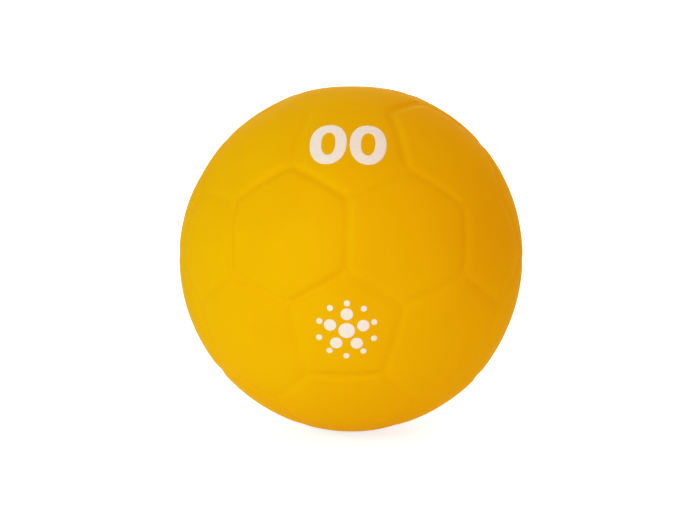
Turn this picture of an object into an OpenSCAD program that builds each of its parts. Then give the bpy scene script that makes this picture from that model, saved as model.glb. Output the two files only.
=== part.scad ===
/* [Ball] */
// Diameter over the panels, for a circumference of 440 mm
ball_d = 140; // [130:1:150]
// Thickness of the moulded skin
wall = 2.8; // [2.4:0.1:3.4]

/* [Panel lines] */
// Width of a moulded line where it meets the panels
line_w = 5.6; // [4:0.1:7]
// Depth of a moulded line below the panels
line_depth = 0.7; // [0.4:0.05:1]
// Width of the flat bed at the bottom of a line
bed_w = 0.5; // [0.3:0.1:0.8]

/* [Valve] */
// Diameter of the rubber barrel that passes through the skin
barrel_d = 9; // [8.4:0.1:10]
// Length of the barrel
barrel_len = 13; // [12.6:0.1:15]
// How far the barrel's outer end lies below the skin
valve_sink = 0.3; // [0.2:0.05:0.6]
// Diameter of the flange that anchors the barrel in the boss
flange_d = 16; // [14:0.5:18]
// Thickness of the flange
flange_t = 1.6; // [1.2:0.1:2]
// Depth of the flange's outer face below the skin
flange_depth = 3.8; // [3.6:0.1:4.2]
// Diameter of the boss moulded inside the skin
boss_d = 22; // [20:0.5:26]
// Depth of the boss's inner face below the skin
boss_depth = 8; // [7.5:0.1:9]
// Diameter of the plug's neck
neck_d = 5.4; // [5:0.1:6]
// Length of the neck below the barrel's outer end
neck_len = 5.6; // [5:0.1:6]
// Diameter of the bulb that holds the plug in its chamber
bulb_d = 7; // [6.6:0.1:7.6]
// Length of the bulb's straight part
bulb_len = 2.6; // [2.2:0.1:3]
// Length of the bulb's tapered tip
tip_len = 2; // [1.6:0.1:2.2]
// Diameter of the flat end of the tip
tip_d = 4; // [3.6:0.1:4.6]
// Diameter of the needle channel in the plug
needle_d = 2.1; // [2:0.05:2.4]
// Thickness of the closed lips below the needle channel
lip_t = 1.6; // [1.2:0.1:2]
// Diameter of the funnel at the channel's mouth
funnel_d = 3.8; // [3.4:0.1:4.4]
// Depth of the funnel
funnel_depth = 1.2; // [0.8:0.1:1.6]
// Diameter of the air passage at the barrel's inner end
passage_d = 2; // [1.6:0.1:3]

/* [Printed number] */
// Thickness of the ink film
ink_t = 0.12; // [0.08:0.01:0.2]
// Width of one digit
digit_w = 15.4; // [12:0.1:17]
// Height of one digit
digit_h = 21.6; // [16:0.1:24]
// Width of the open middle of a digit
hole_w = 5.8; // [4:0.1:7]
// Height of the open middle of a digit
hole_h = 12; // [8:0.1:14]
// Gap between the two digits
digit_gap = 1; // [0.6:0.1:2]
// Lean of the left digit to the right, in degrees
left_lean = 6; // [0:1:8]
// Height of the number above the middle of its panel
number_up = 1.5; // [0:0.1:2]
// How far the number lies left of the middle of its panel
number_left = 0.7; // [0:0.1:1]

/* [Printed rosette] */
// Diameter of the middle dot
centre_d = 6.4; // [4:0.1:8]
// Diameter of each petal dot
petal_d = 4.8; // [3:0.1:5.4]
// Diameter of the circle that the petal dots lie on
petal_ring_d = 13.6; // [13:0.1:15]
// Diameter of each bead
bead_d = 2.4; // [1.6:0.1:3]
// Diameter of the circle that the beads lie on
bead_ring_d = 22.4; // [22:0.1:24]
// Number of petal dots, one towards each side of the panel
petals = 5; // [4:1:5]

/* [Hidden] */
$fn = 96;

ball_r = ball_d / 2;
chamber_r = ball_r - wall;
golden = (1 + sqrt(5)) / 2;
// Tips the pattern so that the middle of a six-sided panel is at the very top and bottom
tilt = atan(1 / (golden * golden));
// Elevation of the two five-sided panels that face the front
number_elevation = tilt + atan(1 / golden);
rosette_elevation = tilt - atan(1 / golden);
// The valve lies opposite the rosette
valve_elevation = -rosette_elevation;
// Cuts and outlines reach past the surfaces that they cut by this much
overrun = 1;

// The twelve directions of the five-sided panels, as seen with the pattern untipped
function net_point(a, b) = [[0, a, b], [a, b, 0], [b, 0, a]];
// Turns the untipped pattern so that its front edge points to -Y, raised by the tilt
function lay(p) = [
  p.y,
  p.z * sin(tilt) - p.x * cos(tilt),
  p.x * sin(tilt) + p.z * cos(tilt)
];
centres = [for (a = [-1, 1]) for (b = [-golden, golden]) for (p = net_point(a, b)) lay(p)];
last = len(centres) - 1;

function unit(v) = v / norm(v);
function are_near(i, j) = i != j && centres[i] * centres[j] > 0;
function near(i) = [for (j = [0 : last]) if (are_near(i, j)) j];
// Corner of the five-sided panel i that points to the five-sided panel j
function corner(i, j) = unit(2 * centres[i] + centres[j]);

// The sides of a panel, each as the pair of corners that it joins
function five_sides(i) = [
  for (j = near(i)) for (k = near(i)) if (j < k && are_near(j, k)) [corner(i, j), corner(i, k)]
];
function six_sides(three) = [
  for (m = [0 : 2])
    let (i = three[m], j = three[(m + 1) % 3], k = three[(m + 2) % 3])
      each [[corner(i, j), corner(j, i)], [corner(i, j), corner(i, k)]]
];
// Each six-sided panel lies between three five-sided ones that are near each other
threes = [
  for (i = [0 : last]) for (j = near(i)) for (k = near(i))
    if (i < j && j < k && are_near(j, k)) [i, j, k]
];
// Every panel, as the direction of its middle and its sides
panels = concat(
  [for (i = [0 : last]) [unit(centres[i]), five_sides(i)]],
  [for (t = threes) [unit(centres[t[0]] + centres[t[1]] + centres[t[2]]), six_sides(t)]]
);

// A line is a V with a flat bed. Each side of the V is part of a large sphere, which runs
// from the V's tip, below the middle of the line, to the line's edge on the panel.
bed_r = ball_r - line_depth;
vee_r = ball_r - line_depth * line_w / (line_w - bed_w);
flank_off = (ball_r * ball_r - vee_r * vee_r) / line_w;
flank_r = sqrt(vee_r * vee_r + flank_off * flank_off);
// Below the bed, neighbouring panels stay this far from the plane between them
root_gap = bed_w / 4;

// Points of an oval outline
function oval(w, h) = [
  for (k = [0 : $fn - 1]) [w / 2 * cos(360 * k / $fn), h / 2 * sin(360 * k / $fn)]
];

// Puts a shape drawn along +Z on the axis at this elevation, at the front or the back
module on_front(elevation) {
  rotate([90 - elevation, 0, 0]) children();
}

module on_back(elevation) {
  rotate([elevation - 90, 0, 0]) children();
}

// The half of space that lies along a direction, less the root gap
module beyond(normal) {
  across = unit([normal.y, -normal.x, 0]);
  up = cross(normal, across);
  multmatrix([
    [normal.x, across.x, up.x, 0],
    [normal.y, across.y, up.y, 0],
    [normal.z, across.z, up.z, 0],
    [0, 0, 0, 1]
  ])
    translate([root_gap, -ball_r, -ball_r]) cube([ball_r, ball_d, ball_d]);
}

// Trims a panel along its sides from number k on, so that each falls away into its line
module trimmed(normals, k) {
  if (k < len(normals))
    intersection() {
      trimmed(normals, k + 1) children();
      translate(flank_off * normals[k]) sphere(r = flank_r);
    }
  else
    children();
}

// One raised panel with its root, drawn facing -Y and then turned to its place
module panel(middle, sides) {
  right = unit(cross(middle, sides[0][0]));
  up = cross(middle, right);
  inward = [
    for (s = sides) let (n = unit(cross(s[0], s[1]))) n * middle > 0 ? n : -n
  ];
  normals = [for (n = inward) [n * right, -(n * middle), n * up]];
  multmatrix([
    [right.x, -middle.x, up.x, 0],
    [right.y, -middle.y, up.y, 0],
    [right.z, -middle.z, up.z, 0],
    [0, 0, 0, 1]
  ])
    trimmed(normals, 0)
      intersection() {
        sphere(r = ball_r);
        intersection_for (n = normals) beyond(n);
      }
}

// The air chamber, with the valve's boss standing into it
module chamber() {
  difference() {
    sphere(r = chamber_r);
    on_back(valve_elevation)
      translate([0, 0, ball_r - boss_depth]) cylinder(h = boss_depth, d = boss_d);
  }
}

// The seat that the boss gives the barrel and its flange
module valve_seat() {
  on_back(valve_elevation)
    rotate_extrude()
      polygon([
        [0, ball_r + overrun],
        [barrel_d / 2, ball_r + overrun],
        [barrel_d / 2, ball_r - flange_depth],
        [flange_d / 2, ball_r - flange_depth],
        [flange_d / 2, ball_r - flange_depth - flange_t],
        [barrel_d / 2, ball_r - flange_depth - flange_t],
        [barrel_d / 2, ball_r - boss_depth - overrun],
        [0, ball_r - boss_depth - overrun]
      ]);
}

module shell() {
  color([0.93, 0.70, 0.04])
    difference() {
      union() {
        sphere(r = bed_r);
        for (p = panels) panel(p[0], p[1]);
      }
      chamber();
      valve_seat();
    }
}

// Places along the valve's axis, measured from the ball's middle
barrel_top = ball_r - valve_sink;
barrel_end = barrel_top - barrel_len;
neck_end = barrel_top - neck_len;
bulb_end = neck_end - bulb_len;
tip_end = bulb_end - tip_len;

module valve_housing() {
  color([0.16, 0.15, 0.14])
    on_back(valve_elevation)
      rotate_extrude()
        polygon([
          [neck_d / 2, barrel_top],
          [barrel_d / 2, barrel_top],
          [barrel_d / 2, ball_r - flange_depth],
          [flange_d / 2, ball_r - flange_depth],
          [flange_d / 2, ball_r - flange_depth - flange_t],
          [barrel_d / 2, ball_r - flange_depth - flange_t],
          [barrel_d / 2, barrel_end],
          [passage_d / 2, barrel_end],
          [passage_d / 2, tip_end],
          [bulb_d / 2, tip_end],
          [bulb_d / 2, neck_end],
          [neck_d / 2, neck_end]
        ]);
}

module valve_core() {
  color([0.75, 0.72, 0.66])
    on_back(valve_elevation)
      rotate_extrude()
        polygon([
          [funnel_d / 2, barrel_top],
          [neck_d / 2, barrel_top],
          [neck_d / 2, neck_end],
          [bulb_d / 2, neck_end],
          [bulb_d / 2, bulb_end],
          [tip_d / 2, tip_end],
          [0, tip_end],
          [0, tip_end + lip_t],
          [needle_d / 2, tip_end + lip_t],
          [needle_d / 2, barrel_top - funnel_depth]
        ]);
}

// The space that an ink film fills, just outside the panels
module film() {
  difference() {
    sphere(r = ball_r + ink_t);
    sphere(r = ball_r);
  }
}

// One digit's ring, printed across and up from the middle of the upper front panel
module digit(across, lean) {
  color([0.94, 0.89, 0.86])
    intersection() {
      film();
      on_front(number_elevation)
        translate([across - number_left, number_up, 0])
          rotate([0, 0, -lean])
            linear_extrude(height = ball_r + overrun)
              difference() {
                polygon(oval(digit_w, digit_h));
                polygon(oval(hole_w, hole_h));
              }
    }
}

module digit_left() {
  digit(-(digit_w + digit_gap) / 2, left_lean);
}

module digit_right() {
  digit((digit_w + digit_gap) / 2, 0);
}

// Dots of one size, evenly spaced on a circle round the middle of the lower front panel
module dots(count, dot_d, ring_d) {
  color([0.94, 0.89, 0.86])
    intersection() {
      film();
      on_front(rosette_elevation)
        for (k = [0 : count - 1])
          rotate([0, 0, 90 + 360 * k / count])
            translate([ring_d / 2, 0, 0]) cylinder(h = ball_r + overrun, d = dot_d);
    }
}

module rosette_centre() {
  dots(1, centre_d, 0);
}

module rosette_petals() {
  dots(petals, petal_d, petal_ring_d);
}

// Two beads for each petal
module rosette_beads() {
  dots(2 * petals, bead_d, bead_ring_d);
}

shell();
valve_housing();
valve_core();
digit_left();
digit_right();
rosette_centre();
rosette_petals();
rosette_beads();
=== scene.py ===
import math

import bpy
import numpy as np
from mathutils import Matrix, Vector


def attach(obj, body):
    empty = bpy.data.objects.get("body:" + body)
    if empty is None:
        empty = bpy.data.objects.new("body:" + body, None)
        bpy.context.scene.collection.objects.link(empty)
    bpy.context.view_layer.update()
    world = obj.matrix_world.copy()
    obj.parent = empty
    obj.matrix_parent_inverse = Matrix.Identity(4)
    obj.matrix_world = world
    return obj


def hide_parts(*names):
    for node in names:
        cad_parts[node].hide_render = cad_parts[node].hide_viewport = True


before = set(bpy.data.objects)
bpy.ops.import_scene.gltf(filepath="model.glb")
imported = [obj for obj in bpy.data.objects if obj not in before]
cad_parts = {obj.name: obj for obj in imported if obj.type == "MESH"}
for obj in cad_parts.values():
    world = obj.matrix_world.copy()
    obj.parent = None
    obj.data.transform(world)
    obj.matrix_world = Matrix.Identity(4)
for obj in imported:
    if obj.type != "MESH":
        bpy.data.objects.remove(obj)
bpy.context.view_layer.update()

MM = 0.001

# ---- Sizes ----

# The frame's own sizes, as the CAD source has them
BALL_R = 70 * MM
CHAMBER_R = 67.2 * MM
GOLDEN = (1 + math.sqrt(5)) / 2
TILT = math.atan(1 / GOLDEN**2)
NUMBER_ELEVATION = TILT + math.atan(1 / GOLDEN)
ROSETTE_ELEVATION = TILT - math.atan(1 / GOLDEN)
VALVE_ELEVATION = -ROSETTE_ELEVATION
BARREL_D = 9 * MM
BARREL_TOP = BALL_R - 0.3 * MM
BARREL_END = BARREL_TOP - 13 * MM
FLANGE_D = 16 * MM
FLANGE_TOP = BALL_R - 3.8 * MM
FLANGE_LOW = FLANGE_TOP - 1.6 * MM
BOSS_D = 22 * MM
BOSS_LOW = BALL_R - 8 * MM
NECK_D = 5.4 * MM
NECK_END = BARREL_TOP - 5.6 * MM
BULB_D = 7 * MM
BULB_END = NECK_END - 2.6 * MM
TIP_D = 4 * MM
TIP_END = BULB_END - 2 * MM
PASSAGE_D = 2 * MM
NEEDLE_D = 2.1 * MM
SEAL_TOP = TIP_END + 1.6 * MM
FUNNEL_D = 3.8 * MM
FUNNEL_LOW = BARREL_TOP - 1.2 * MM
PETALS = 5
CENTRE_D, PETAL_D, PETAL_RING_D = 6.4 * MM, 4.8 * MM, 13.6 * MM
BEAD_D, BEAD_RING_D = 2.4 * MM, 22.4 * MM

# Rounded edges: the lip of the valve's hole, the valve's barrel and its plug
LIP_ROUND, BARREL_ROUND, PLUG_ROUND = 0.7 * MM, 0.3 * MM, 0.25 * MM

# Each digit's outline and opening as the photo has them: how far right and up of the panel's
# middle, width and height in mm, squareness (2 is an ellipse) and lean to the right in degrees
DIGITS = {
    "digit_left": ((-8.83, 0.55, 14.54, 20.46, 2.19, 0.1), (-8.77, 0.56, 5.58, 11.64, 2.22, 0.25)),
    "digit_right": ((6.82, 0.31, 14.34, 20.4, 2.15, 1.3), (6.86, 0.27, 5.59, 11.68, 2.2, 1.65)),
}

# The ink films: how far they stand out of the skin and reach into it, and how wide their
# rounded edge is. The edge's steps are (height, how far in from the outline).
INK_RAISE, INK_SINK, INK_EDGE = 0.07 * MM, 0.04 * MM, 0.06 * MM
EDGE_STEPS = (
    (-INK_SINK, 0),
    (0.25 * INK_RAISE, 0),
    (0.8 * INK_RAISE, 0.35 * INK_EDGE),
    (INK_RAISE, INK_EDGE),
)

# The moulded lines: how deep most of them are, how far their narrow core and their soft
# shoulders reach, the core's share of the depth, and how crisply lines meet at a corner
LINE_DEPTH = 0.55 * MM
LINE_CORE, LINE_SHOULDER = 3.4 * MM, 5 * MM
CORE_SHARE = 0.7
MEETING_POWER = 2.2

# The skin gives a little, so that the ball is a trace out of round: oval and three-sided as
# seen from the front, each with the angle of its longest radius, and fuller front and back
MEAN_R = 69.5 * MM
OVAL, OVAL_AT = 0.34 * MM, math.radians(82.7)
TREFOIL, TREFOIL_AT = 0.25 * MM, math.radians(45.9)
FRONT_REACH = 0.42 * MM

# Faint waves all over it. Each is a product of two sines, each sine with its x, y and z part
# in radians per mm and its start.
WAVE_HEIGHT = 0.035 * MM
WAVES = (
    ((0.31, 0.11, 0, 1.1), (-0.13, 0, 0.24, 0.4)),
    ((0, 0.27, -0.16, 2.3), (0.19, 0, 0.22, 0.9)),
)

# Flat spots (or, below 0, swells): where, how deep in mm, and how far they reach in degrees
DENTS = (
    ((0, 0.18, 0.98), 0.42, 9),
    ((-0.87, 0.05, 0.5), 0.32, 8),
    ((0.26, -0.25, -0.93), 0.25, 8),
    ((0.71, -0.19, -0.68), -0.32, 9),
    ((0.32, 0.18, 0.93), -0.25, 4),
    ((-0.33, 0.16, 0.93), -0.28, 5),
)


def unit(p):
    p = np.asarray(p, float)
    return p / np.linalg.norm(p, axis=-1, keepdims=True)


# ---- The panel net: 12 five-sided and 20 six-sided panels ----


def lay(p):
    """A point of the upright net, turned so that a six-sided panel lies on top."""
    return (
        p[1],
        p[2] * math.sin(TILT) - p[0] * math.cos(TILT),
        p[0] * math.sin(TILT) + p[2] * math.cos(TILT),
    )


# The middles of the five-sided panels, and for each of them its five neighbours. The number
# is on panel 11, the rosette on panel 5 and the valve on panel 8.
CENTRES = np.array(
    [
        lay(p)
        for a in (-1, 1)
        for b in (-GOLDEN, GOLDEN)
        for p in ((0, a, b), (a, b, 0), (b, 0, a))
    ]
)
NEAR = [[j for j in range(12) if j != i and CENTRES[i] @ CENTRES[j] > 0] for i in range(12)]

# Corners of the net that the moulding has a little off their even place: how far to the
# right and up on the skin, in mm. Corner (i, j) is the one of panel i that points at panel j.
MOVED = {
    (11, 7): (-0.2, -0.5),
    (11, 5): (-0.3, 0.1),
    (5, 11): (-0.2, -0.9),
    (5, 7): (0.3, 1.2),
    (7, 5): (-0.8, 0),
    (7, 11): (-0.4, 0.4),
    (11, 10): (-0.9, -1.0),
    (10, 11): (-1.1, 0.2),
    (10, 5): (-0.3, 0.9),
    (5, 10): (-0.5, 2.0),
    (10, 6): (-0.9, 2.3),
    (11, 9): (1.7, 1.7),
    (5, 0): (-1.3, -2.0),
    (5, 6): (0, -1.1),
    (7, 3): (0.5, -1.4),
    (11, 3): (-3.0, 1.0),
    (10, 9): (-1.5, -1.2),
}

# Lines that are moulded deeper or shallower than most, as shares of the usual depth. A line
# is named by its two corners.
DEPTHS = {
    ((0, 5), (5, 0)): 0.5,
    ((5, 6), (6, 5)): 0.7,
    ((0, 5), (0, 6)): 0.6,
    ((0, 5), (0, 7)): 0.6,
    ((6, 0), (6, 5)): 0.6,
    ((6, 5), (6, 10)): 0.6,
    ((5, 7), (7, 5)): 1.5,
    ((5, 11), (11, 5)): 0.95,
    ((7, 11), (11, 7)): 1.3,
    ((10, 11), (11, 10)): 0.7,
    ((5, 0), (5, 6)): 1.2,
    ((5, 0), (5, 7)): 0.8,
    ((5, 6), (5, 10)): 0.6,
    ((5, 7), (5, 11)): 2.3,
    ((5, 10), (5, 11)): 0.8,
    ((7, 3), (7, 11)): 0.7,
    ((7, 5), (7, 11)): 1.7,
    ((3, 11), (11, 3)): 0.7,
    ((10, 5), (10, 6)): 0.9,
    ((10, 5), (10, 11)): 0.75,
    ((10, 9), (10, 11)): 0.4,
    ((11, 3), (11, 9)): 0.4,
    ((9, 11), (11, 9)): 1.9,
    ((11, 5), (11, 7)): 1.35,
    ((1, 7), (7, 1)): 0.35,
    ((4, 10), (10, 4)): 0.35,
    ((3, 1), (3, 7)): 0.25,
    ((3, 9), (3, 11)): 0.55,
    ((9, 3), (9, 11)): 0.65,
    ((0, 1), (0, 7)): 0.8,
    ((6, 4), (6, 10)): 0.6,
    ((9, 4), (9, 10)): 0.6,
    ((0, 2), (0, 6)): 0.5,
    ((6, 0), (6, 2)): 0.5,
}


def corner(i, j):
    """The corner of five-sided panel i that points at panel j, a third of the way there."""
    p = unit(2 * CENTRES[i] + CENTRES[j])
    right = unit(np.cross((0, 0, 1), p))
    a, b = MOVED.get((i, j), (0, 0))
    return unit(p + (a * right + b * np.cross(p, right)) * MM / BALL_R)


def panel(corners):
    """A panel's middle, and its corners in order round it as seen from outside."""
    middle = unit(sum(corners))
    right = unit(np.cross(middle, corners[0]))
    up = np.cross(right, middle)
    corners = sorted(corners, key=lambda c: math.atan2(c @ up, c @ right), reverse=True)
    return middle, np.array(corners)


def net():
    """All panels, and for all lines their starts, their ends and their depths."""
    panels = [panel([corner(i, j) for j in NEAR[i]]) for i in range(12)]
    lines = [((i, j), (j, i)) for i in range(12) for j in NEAR[i] if i < j]
    for i in range(12):
        for j in NEAR[i]:
            for k in NEAR[i]:
                if j < k and k in NEAR[j]:
                    lines.append(((i, j), (i, k)))
                    if i < j:
                        pairs = ((i, j), (j, i), (j, k), (k, j), (k, i), (i, k))
                        panels.append(panel([corner(*pair) for pair in pairs]))
    starts, ends = (np.array([corner(*line[k]) for line in lines]) for k in (0, 1))
    return panels, starts, ends, np.array([DEPTHS.get(line, 1) for line in lines])


PANELS, LINE_START, LINE_END, LINE_STRENGTH = net()
LINE_NORMAL = unit(np.cross(LINE_START, LINE_END))
START_SIDE = np.cross(LINE_NORMAL, LINE_START)
END_SIDE = np.cross(LINE_END, LINE_NORMAL)


# ---- The surface of the skin, as a radius for each direction ----


def line_share(p):
    """How deep in a moulded line each direction lies: 0 on a panel, 1 at the usual bottom."""
    across = np.abs(np.arcsin(np.clip(p @ LINE_NORMAL.T, -1, 1)))
    ends = np.arccos(np.clip(np.maximum(p @ LINE_START.T, p @ LINE_END.T), -1, 1))
    beside = (p @ START_SIDE.T >= 0) & (p @ END_SIDE.T >= 0)
    away = np.where(beside, across, ends) * BALL_R
    core = np.clip(1 - (away / LINE_CORE) ** 2, 0, 1) ** 3
    shoulder = np.clip(1 - (away / LINE_SHOULDER) ** 2, 0, 1) ** 3
    depth = CORE_SHARE * core + (1 - CORE_SHARE) * shoulder
    joined = (1 - np.prod(1 - depth**MEETING_POWER, axis=1)) ** (1 / MEETING_POWER)
    pull = depth**2 + 1e-9
    return joined * (pull @ LINE_STRENGTH) / pull.sum(axis=1)


def skin_radius(p):
    """The skin's radius in each of these directions."""
    across = p[:, 0] + 1j * p[:, 2]
    r = np.full(len(p), MEAN_R)
    r += OVAL * np.real(across**2 * np.exp(-2j * OVAL_AT))
    r += TREFOIL * np.real(across**3 * np.exp(-3j * TREFOIL_AT))
    r += FRONT_REACH * p[:, 1] ** 2
    places = p * BALL_R / MM
    for sines in WAVES:
        wave = np.prod([np.sin(places @ sine[:3] + sine[3]) for sine in sines], axis=0)
        r += WAVE_HEIGHT * (wave - 1) / 2
    for way, depth, reach in DENTS:
        away = np.degrees(np.arccos(np.clip(p @ unit(way), -1, 1)))
        r -= depth * MM * np.exp(-((away / reach) ** 2))
    return r - LINE_DEPTH * line_share(p)


def on_skin(directions, lift=0):
    p = unit(directions)
    return p * (skin_radius(p) + lift)[:, None]


# ---- Meshes ----

# Points closer than this are one point
MERGE = 0.002 * MM


class Mesh:
    """Gathers rings of points into one clean closed mesh."""

    def __init__(self):
        self.points, self.faces = [], []
        self.seen = {}

    def add(self, points):
        """Adds a ring's points and returns their numbers. Points that are there are reused."""
        ids = []
        for p in points:
            key = tuple(np.round(np.asarray(p) / MERGE).astype(int))
            if key not in self.seen:
                self.seen[key] = len(self.points)
                self.points.append(tuple(p))
            ids.append(self.seen[key])
        return ids

    def band(self, a, b):
        """Faces between two rings, or between a ring and a single point."""
        n = max(len(a), len(b))
        for i in range(n):
            j = (i + 1) % n
            ring = [a[i % len(a)], a[j % len(a)], b[j % len(b)], b[i % len(b)]]
            face = [v for k, v in enumerate(ring) if v != ring[k - 1]]
            if len(set(face)) > 2:
                self.faces.append(face)

    def bands(self, rings):
        for a, b in zip(rings, rings[1:]):
            self.band(a, b)

    def build(self, name):
        mesh = bpy.data.meshes.new(name)
        mesh.from_pydata(self.points, [], self.faces)
        mesh.update()
        mesh.polygons.foreach_set("use_smooth", [True] * len(mesh.polygons))
        obj = bpy.data.objects.new(name, mesh)
        bpy.context.scene.collection.objects.link(obj)
        return obj


# ---- The valve's place and its turned pieces ----

V_OUT = np.array([0, math.cos(VALVE_ELEVATION), math.sin(VALVE_ELEVATION)])
V_RIGHT = np.array([-1.0, 0, 0])
V_UP = np.cross(V_OUT, V_RIGHT)

LATHE_POINTS = 96
# A rounded corner's points, and how much of each side it may take
CORNER_STEPS, CORNER_REACH = 4, 0.4


def lathe_ring(r, h):
    """A ring round the valve's axis, at radius r and height h from the ball's middle."""
    if r == 0:
        return [h * V_OUT]
    a = 2 * math.pi * np.arange(LATHE_POINTS) / LATHE_POINTS
    return h * V_OUT + r * (np.outer(np.cos(a), V_RIGHT) + np.outer(np.sin(a), V_UP))


def rounded(profile, radius):
    """A closed profile with each corner off the axis rounded, as far as its sides allow."""
    out = []
    n = len(profile)
    for i in range(n):
        a, b, c = (np.array(profile[k % n], float) for k in (i - 1, i, i + 1))
        if b[0] == 0:
            out.append(tuple(b))
            continue
        ab, cb = a - b, c - b
        r = min(radius, CORNER_REACH * np.linalg.norm(ab), CORNER_REACH * np.linalg.norm(cb))
        p, q = b + unit(ab) * r, b + unit(cb) * r
        for s in np.linspace(0, 1, CORNER_STEPS):
            out.append(tuple((1 - s) ** 2 * p + 2 * s * (1 - s) * b + s**2 * q))
    return out


def lathe(name, profile):
    """A solid turned round the valve's axis from a closed profile of (radius, height)."""
    mesh = Mesh()
    rings = [mesh.add(lathe_ring(r, h)) for r, h in reversed(profile)]
    mesh.bands(rings + rings[:1])
    return mesh.build(name)


def barrel_profile():
    return rounded(
        [
            (NECK_D / 2, BARREL_TOP),
            (BARREL_D / 2, BARREL_TOP),
            (BARREL_D / 2, FLANGE_TOP),
            (FLANGE_D / 2, FLANGE_TOP),
            (FLANGE_D / 2, FLANGE_LOW),
            (BARREL_D / 2, FLANGE_LOW),
            (BARREL_D / 2, BARREL_END),
            (PASSAGE_D / 2, BARREL_END),
            (PASSAGE_D / 2, TIP_END),
            (BULB_D / 2, TIP_END),
            (BULB_D / 2, NECK_END),
            (NECK_D / 2, NECK_END),
        ],
        BARREL_ROUND,
    )


def plug_profile():
    return rounded(
        [
            (NEEDLE_D / 2, FUNNEL_LOW),
            (FUNNEL_D / 2, BARREL_TOP),
            (NECK_D / 2, BARREL_TOP),
            (NECK_D / 2, NECK_END),
            (BULB_D / 2, NECK_END),
            (BULB_D / 2, BULB_END),
            (TIP_D / 2, TIP_END),
            (0, TIP_END),
            (0, SEAL_TOP),
            (NEEDLE_D / 2, SEAL_TOP),
        ],
        PLUG_ROUND,
    )


# ---- The shell ----

# Distances from a line, in mm, at which a panel has its rings of points
RING_STEPS = (
    (0, 0.22, 0.46, 0.72, 1.0, 1.3, 1.62, 1.96, 2.32, 2.7, 3.15)
    + (3.7, 4.4, 5.2, 6.4, 8, 10, 12.5, 15.5, 18.5, 21.5)
)
# Points along each side of a panel, and how much they crowd towards its corners
SIDE_STEPS = 24
SIDE_CROWD = 0.6
# The innermost ring's size, as a share of the panel's
CENTRE_SHARE = 0.08
LIP_STEPS = 7
CHAMBER_STEPS = 36


def border(middle, corners):
    """Points round the panel's border, on the plane that touches the ball at its middle."""
    u = np.arange(SIDE_STEPS) / SIDE_STEPS
    t = (u - SIDE_CROWD * np.sin(2 * math.pi * u) / (2 * math.pi))[:, None]
    after = np.roll(corners, -1, axis=0)
    points = unit(np.concatenate([a * (1 - t) + b * t for a, b in zip(corners, after)]))
    return points / (points @ middle)[:, None] - middle


def ring_shares(middle, corners):
    """Each ring's size as a share of the border's."""
    reach = math.acos(unit(corners[0] + corners[1]) @ middle)
    turns = [reach - d * MM / BALL_R for d in RING_STEPS]
    shares = [math.tan(turn) / math.tan(reach) for turn in turns if turn > 0]
    return [s for s in shares if s > CENTRE_SHARE] + [CENTRE_SHARE]


def make_shell():
    """The skin panel by panel. The one with the valve ends at its hole, not at its middle."""
    mesh = Mesh()
    for middle, corners in PANELS:
        edge = border(middle, corners)
        shares = ring_shares(middle, corners)
        has_valve = np.allclose(middle, V_OUT)
        inner = 0
        if has_valve:
            inner = unit(edge) * (BARREL_D / 2 + LIP_ROUND) / BALL_R
            shares = [1 - (1 - s) / (1 - CENTRE_SHARE) for s in shares]
        flats = [s * edge + (1 - s) * inner for s in shares]
        rings = [mesh.add(on_skin(middle + flat)) for flat in flats]
        mesh.bands(rings)
        if has_valve:
            lip, hole = rings[-1], flats[-1]
        else:
            mesh.band(rings[-1], mesh.add(on_skin([middle])))
    close_shell(mesh, lip, hole)
    return mesh.build("shell_skin")


def close_shell(mesh, lip, hole):
    """From the lip of the valve's hole down its seat, round the boss and over the air chamber."""
    ways = unit(hole)
    lip_r = BARREL_D / 2 + LIP_ROUND
    lip_h = skin_radius(unit(V_OUT + hole[:1]))[0] * math.cos(math.asin(lip_r / BALL_R))
    profile = []
    for turn in np.radians(np.linspace(90, 180, LIP_STEPS))[1:]:
        h = lip_h - LIP_ROUND + LIP_ROUND * math.sin(turn)
        profile.append((lip_r + LIP_ROUND * math.cos(turn), h))
    profile += [
        (BARREL_D / 2, FLANGE_TOP),
        (FLANGE_D / 2, FLANGE_TOP),
        (FLANGE_D / 2, FLANGE_LOW),
        (BARREL_D / 2, FLANGE_LOW),
        (BARREL_D / 2, BOSS_LOW),
        (BOSS_D / 2, BOSS_LOW),
    ]
    for turn in np.linspace(math.asin(BOSS_D / 2 / CHAMBER_R), math.pi, CHAMBER_STEPS)[:-1]:
        profile.append((CHAMBER_R * math.sin(turn), CHAMBER_R * math.cos(turn)))
    rings = [mesh.add(h * V_OUT + r * ways) for r, h in profile]
    mesh.bands([lip] + rings + [mesh.add([-CHAMBER_R * V_OUT])])


# ---- Ink films ----

DIGIT_POINTS, DIGIT_STEPS = 144, 8
DOT_POINTS, DOT_STEPS = 48, 4


def front_direction(elevation, flat):
    """Directions of flat points laid square onto the front at that elevation."""
    x, y = flat.T
    out = np.array([0, -math.cos(elevation), math.sin(elevation)])
    up = np.array([0, math.sin(elevation), math.cos(elevation)])
    right = np.array([1.0, 0, 0])
    depth = np.sqrt(BALL_R**2 - x**2 - y**2)
    return unit(np.outer(x, right) + np.outer(y, up) + np.outer(depth, out))


def ink(name, elevation, outlines, steps, filled):
    """Thin films on the skin. An outline gives a ring of flat points for a share from 0, the
    film's outer edge, to 1, its opening or, in a filled one, its middle."""
    mesh = Mesh()

    def ring(outline, share, lift, inset=0):
        return mesh.add(on_skin(front_direction(elevation, outline(share, inset)), lift))

    shares = np.linspace(0, 1, steps + 1)
    for outline in outlines:
        top = [ring(outline, 0, lift, inset) for lift, inset in EDGE_STEPS]
        top += [ring(outline, share, INK_RAISE) for share in shares[1:-1]]
        if filled:
            top.append(ring(outline, 1, INK_RAISE))
        else:
            top += [ring(outline, 1, lift, -inset) for lift, inset in reversed(EDGE_STEPS)]
        mesh.bands(top)
        under = [ring(outline, share, -INK_SINK) for share in (shares[::2] if filled else shares)]
        mesh.bands(under[::-1])
    return mesh.build(name)


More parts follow.
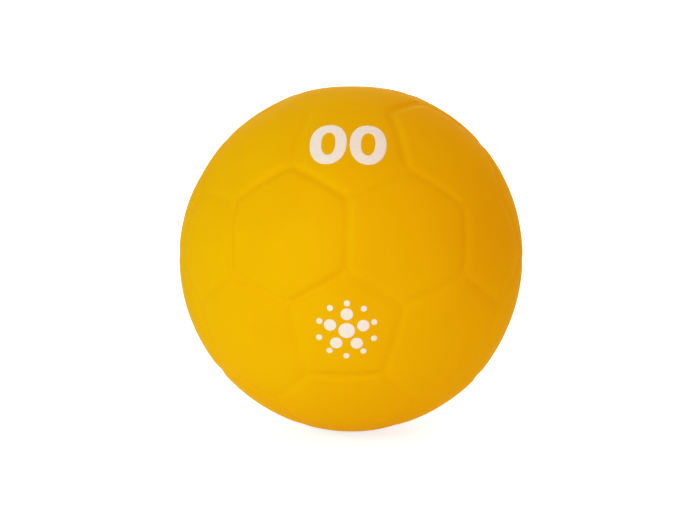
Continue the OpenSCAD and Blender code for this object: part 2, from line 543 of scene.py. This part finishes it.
def oval(width, height, squareness, n):
    """Points of an oval. A squareness over 2 fills its corners."""
    a = 2 * math.pi * np.arange(n) / n
    c, s = np.cos(a), np.sin(a)
    k = 2 / squareness
    x, y = np.sign(c) * np.abs(c) ** k, np.sign(s) * np.abs(s) ** k
    return np.stack([width / 2 * x, height / 2 * y], axis=1)


def leaned(flat, lean):
    """Flat points leaned to the right by that many degrees."""
    c, s = math.cos(math.radians(lean)), math.sin(math.radians(lean))
    return flat @ np.array([[c, -s], [s, c]])


def digit_outline(*shapes):
    """The ring of one digit, between its outline and its opening."""
    rings, places = [], []
    for right, up, width, height, squareness, lean in shapes:
        rings.append(leaned(oval(width, height, squareness, DIGIT_POINTS), lean) * MM)
        places.append(np.array((right, up)) * MM)

    def outline(share, inset):
        flat = rings[0] * (1 - share) + rings[1] * share
        place = places[0] * (1 - share) + places[1] * share
        return flat - unit(flat) * inset + place

    return outline


def dot_outline(x, y, diameter):
    circle = oval(2, 2, 2, DOT_POINTS)

    def outline(share, inset):
        return circle * (diameter / 2 * (1 - share) - inset) + (x, y)

    return outline


def ring_of_dots(count, dot_d, ring_d):
    """Dots in a circle round the panel's middle, the first one at its top."""
    turns = [math.radians(90 + k * 360 / count) for k in range(count)]
    r = ring_d / 2
    return [dot_outline(r * math.cos(turn), r * math.sin(turn), dot_d) for turn in turns]


# ---- Materials ----

SKIN, SKIN_DEEP = (0.92, 0.485, 0.001), (0.90, 0.455, 0.001)
INK, INK_THIN = (0.98, 0.875, 0.79), (0.95, 0.82, 0.70)
BARREL, BARREL_DUSTY = (0.58, 0.31, 0.01), (0.70, 0.40, 0.02)
PLUG, PLUG_DUSTY = (0.031, 0.028, 0.025), (0.052, 0.047, 0.041)
# Specular level of each, where 0.5 is usual. The photo leaves the skin next to none.
SKIN_GLOSS, INK_GLOSS, RUBBER_GLOSS = 0.003, 0.3, 0.18

# Sockets of the Mix node that can't be told apart by name
MIX_FACTOR, MIX_A, MIX_B, MIX_RESULT = 0, 6, 7, 2


class Surface:
    """A material in the making. Scales are per metre, in the object's own frame."""

    def __init__(self, name, gloss):
        self.material = bpy.data.materials.new(name)
        self.material.use_nodes = True
        self.nodes = self.material.node_tree.nodes
        self.link = self.material.node_tree.links.new
        self.shader = self.nodes["Principled BSDF"]
        self.shader.inputs["Specular IOR Level"].default_value = gloss
        self.coords = self.nodes.new("ShaderNodeTexCoord").outputs["Object"]

    def noise(self, scale, detail, roughness=0.5):
        node = self.nodes.new("ShaderNodeTexNoise")
        node.inputs["Scale"].default_value = scale
        node.inputs["Detail"].default_value = detail
        node.inputs["Roughness"].default_value = roughness
        self.link(self.coords, node.inputs["Vector"])
        return node.outputs["Fac"]

    def ramp(self, noise, low, high):
        """A grey between two stops. Each is (value of the noise, grey)."""
        node = self.nodes.new("ShaderNodeValToRGB")
        for element, (place, grey) in zip(node.color_ramp.elements, (low, high)):
            element.position = place
            element.color = (grey, grey, grey, 1)
        self.link(noise, node.inputs["Fac"])
        return node.outputs["Color"]

    def colour(self, noise, start, end, a, b):
        """Base colour a up to that value of the noise, and b from the other on."""
        node = self.nodes.new("ShaderNodeMix")
        node.data_type = "RGBA"
        self.link(self.ramp(noise, (start, 0), (end, 1)), node.inputs[MIX_FACTOR])
        node.inputs[MIX_A].default_value = (*a, 1)
        node.inputs[MIX_B].default_value = (*b, 1)
        self.link(node.outputs[MIX_RESULT], self.shader.inputs["Base Color"])

    def roughness(self, noise, low, high):
        self.link(self.ramp(noise, low, high), self.shader.inputs["Roughness"])

    def bump(self, noise, height, strength, under=None):
        """A bump of that height, over another one if given."""
        node = self.nodes.new("ShaderNodeBump")
        node.inputs["Distance"].default_value = height
        node.inputs["Strength"].default_value = strength
        self.link(noise, node.inputs["Height"])
        if under is not None:
            self.link(under, node.inputs["Normal"])
        return node.outputs["Normal"]

    def relief(self, normal):
        self.link(normal, self.shader.inputs["Normal"])


def skin_material():
    """Soft moulded plastic: faint clouds of colour, dull patches and a very fine grain."""
    skin = Surface("moulded_pvc", SKIN_GLOSS)
    skin.colour(skin.noise(scale=26, detail=3), 0.35, 0.68, SKIN, SKIN_DEEP)
    skin.roughness(skin.noise(scale=90, detail=4), (0.3, 0.5), (0.7, 0.62))
    grain = skin.noise(scale=2600, detail=2)
    swell = skin.bump(skin.noise(scale=260, detail=2), height=0.03 * MM, strength=0.35)
    skin.relief(skin.bump(grain, height=0.01 * MM, strength=0.4, under=swell))
    return skin.material


def ink_material():
    """Printed ink, a little thin in places."""
    film = Surface("printed_ink", INK_GLOSS)
    thin = film.noise(scale=480, detail=4, roughness=0.6)
    film.colour(thin, 0.42, 0.75, INK, INK_THIN)
    film.roughness(thin, (0.3, 0.46), (0.7, 0.6))
    film.relief(film.bump(thin, height=0.02 * MM, strength=0.4))
    return film.material


def rubber_material(name, clean, dusty, roughness):
    """Moulded rubber with a trace of dust in its grain."""
    rubber = Surface(name, RUBBER_GLOSS)
    dust = rubber.noise(scale=700, detail=5, roughness=0.6)
    rubber.colour(dust, 0.4, 0.7, clean, dusty)
    rubber.roughness(dust, (0.3, roughness - 0.06), (0.7, roughness + 0.08))
    grain = rubber.noise(scale=3000, detail=3)
    rubber.relief(rubber.bump(grain, height=0.02 * MM, strength=0.6))
    return rubber.material


# ---- The pieces ----


def dress(obj, material, node):
    obj.data.materials.append(material)
    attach(obj, "root")
    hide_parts(node)


dress(make_shell(), skin_material(), "shell")
barrel_rubber = rubber_material("valve_rubber", BARREL, BARREL_DUSTY, roughness=0.55)
dress(lathe("valve_barrel", barrel_profile()), barrel_rubber, "valve_housing")
plug_rubber = rubber_material("core_rubber", PLUG, PLUG_DUSTY, roughness=0.6)
dress(lathe("valve_plug", plug_profile()), plug_rubber, "valve_core")
printed = ink_material()
for node, shapes in DIGITS.items():
    outlines = [digit_outline(*shapes)]
    digit = ink("ink_" + node, NUMBER_ELEVATION, outlines, DIGIT_STEPS, filled=False)
    dress(digit, printed, node)
for node, outlines in (
    ("rosette_centre", [dot_outline(0, 0, CENTRE_D)]),
    ("rosette_petals", ring_of_dots(PETALS, PETAL_D, PETAL_RING_D)),
    ("rosette_beads", ring_of_dots(2 * PETALS, BEAD_D, BEAD_RING_D)),
):
    dots = ink("ink_" + node, ROSETTE_ELEVATION, outlines, DOT_STEPS, filled=True)
    dress(dots, printed, node)


# ---- Floor and world ----

FLOOR_HALF = 6
FLOOR_Z = -BALL_R - 0.2 * MM
FLOOR_COLOUR, FLOOR_ROUGHNESS = (0.76, 0.90, 0.98), 0.7
# What the floor adds where it is looked at, so that it shows white and keeps the shadow
FLOOR_GLOW, FLOOR_GLOW_STRENGTH = (0.70, 0.86, 1), 0.75
WORLD_COLOUR = (0.53, 0.50, 0.46)


def looked_at(nodes, link):
    """1 for rays that look at the surface, also in gloss or through glass, and 0 for others."""
    path = nodes.new("ShaderNodeLightPath")
    value = path.outputs["Is Camera Ray"]
    for kind in ("Is Glossy Ray", "Is Transmission Ray"):
        either = nodes.new("ShaderNodeMath")
        either.operation = "MAXIMUM"
        link(value, either.inputs[0])
        link(path.outputs[kind], either.inputs[1])
        value = either.outputs[0]
    return value


def floor_material():
    material = bpy.data.materials.new("studio_floor")
    material.use_nodes = True
    nodes, link = material.node_tree.nodes, material.node_tree.links.new
    shader = nodes["Principled BSDF"]
    shader.inputs["Base Color"].default_value = (*FLOOR_COLOUR, 1)
    shader.inputs["Roughness"].default_value = FLOOR_ROUGHNESS
    shader.inputs["Specular IOR Level"].default_value = 0
    glow = nodes.new("ShaderNodeEmission")
    glow.inputs["Color"].default_value = (*FLOOR_GLOW, 1)
    strength = nodes.new("ShaderNodeMath")
    strength.operation = "MULTIPLY"
    link(looked_at(nodes, link), strength.inputs[0])
    strength.inputs[1].default_value = FLOOR_GLOW_STRENGTH
    link(strength.outputs[0], glow.inputs["Strength"])
    both = nodes.new("ShaderNodeAddShader")
    link(shader.outputs[0], both.inputs[0])
    link(glow.outputs[0], both.inputs[1])
    link(both.outputs[0], nodes["Material Output"].inputs["Surface"])
    return material


def make_floor():
    s, z = FLOOR_HALF, FLOOR_Z
    mesh = bpy.data.meshes.new("floor")
    mesh.from_pydata([(-s, -s, z), (s, -s, z), (s, s, z), (-s, s, z)], [], [(0, 1, 2, 3)])
    floor = bpy.data.objects.new("floor", mesh)
    bpy.context.scene.collection.objects.link(floor)
    mesh.materials.append(floor_material())


def make_world():
    """A dim even light that shows as white where it is looked at."""
    world = bpy.data.worlds.new("studio")
    bpy.context.scene.world = world
    world.use_nodes = True
    nodes, link = world.node_tree.nodes, world.node_tree.links.new
    dim = nodes["Background"]
    dim.inputs["Color"].default_value = (*WORLD_COLOUR, 1)
    white = nodes.new("ShaderNodeBackground")
    white.inputs["Color"].default_value = (1, 1, 1, 1)
    blend = nodes.new("ShaderNodeMixShader")
    link(looked_at(nodes, link), blend.inputs["Fac"])
    link(dim.outputs[0], blend.inputs[1])
    link(white.outputs[0], blend.inputs[2])
    link(blend.outputs[0], nodes["World Output"].inputs["Surface"])


# ---- Lamps ----

# Square soft boxes that face the ball, fitted to the photo's colours: direction from the
# ball, watts and colour. The red one turns the yellow to orange on the right.
LAMP_DISTANCE, LAMP_SIZE = 1.7, 1.5
LAMPS = {
    "key": ((-0.540, -0.830, 0.139), 20, (0.84, 1.0, 0.95)),
    "fill": ((0.858, -0.495, 0.139), 7.6, (1.0, 0.05, 0.04)),
    "back": ((0, 0.906, 0.423), 13.5, (1.0, 0.97, 0.92)),
}
# A small glowing patch just above the floor, which fills the ball's underside
TABLE = ((0, 0, -1), 0.043, (1, 0.84, 0.75))
TABLE_DISTANCE, TABLE_SIZE = BALL_R - 0.1 * MM, 0.25


def make_lamp(name, toward, watts, colour, distance=LAMP_DISTANCE, size=LAMP_SIZE):
    data = bpy.data.lights.new(name, "AREA")
    data.shape = "SQUARE"
    data.size = size
    data.energy = watts
    data.color = colour
    lamp = bpy.data.objects.new(name, data)
    bpy.context.scene.collection.objects.link(lamp)
    way = Vector(toward).normalized()
    lamp.location = way * distance
    lamp.rotation_euler = way.to_track_quat("Z", "Y").to_euler()
    return lamp


# ---- Camera ----

# Fitted to the panel corners in the photo. Angles are in degrees; the focal length and how
# far the camera aims past the ball's middle are in pixels.
IMAGE_W = 700
SENSOR = 36
FOCAL_PX = 3968
CAMERA_DISTANCE = 1.6
CAMERA_AZIMUTH, CAMERA_ELEVATION, CAMERA_ROLL = 1.2, 12.95, 0.8
AIM_RIGHT_PX, AIM_UP_PX = -1.38, -2.05


def make_camera():
    data = bpy.data.cameras.new("camera")
    data.sensor_width = SENSOR
    data.lens = FOCAL_PX * SENSOR / IMAGE_W
    camera = bpy.data.objects.new("camera", data)
    bpy.context.scene.collection.objects.link(camera)
    a, e = math.radians(CAMERA_AZIMUTH), math.radians(CAMERA_ELEVATION)
    back = Vector((math.sin(a) * math.cos(e), -math.cos(a) * math.cos(e), math.sin(e)))
    right = Vector((math.cos(a), math.sin(a), 0))
    up = back.cross(right)
    roll = Matrix.Rotation(math.radians(CAMERA_ROLL), 3, back)
    right, up = roll @ right, roll @ up
    place = back * CAMERA_DISTANCE
    aim = (right * AIM_RIGHT_PX + up * AIM_UP_PX) * CAMERA_DISTANCE / FOCAL_PX
    look = (place - aim).normalized()
    side = (right - look * right.dot(look)).normalized()
    turn = Matrix((side, look.cross(side), look)).transposed()
    camera.matrix_world = Matrix.Translation(place) @ turn.to_4x4()
    bpy.context.scene.camera = camera


make_floor()
make_world()
for name, values in LAMPS.items():
    make_lamp(name, *values)
table = make_lamp("table", *TABLE, TABLE_DISTANCE, TABLE_SIZE)
table.visible_camera = False
make_camera()
bpy.context.scene.view_settings.view_transform = "Standard"
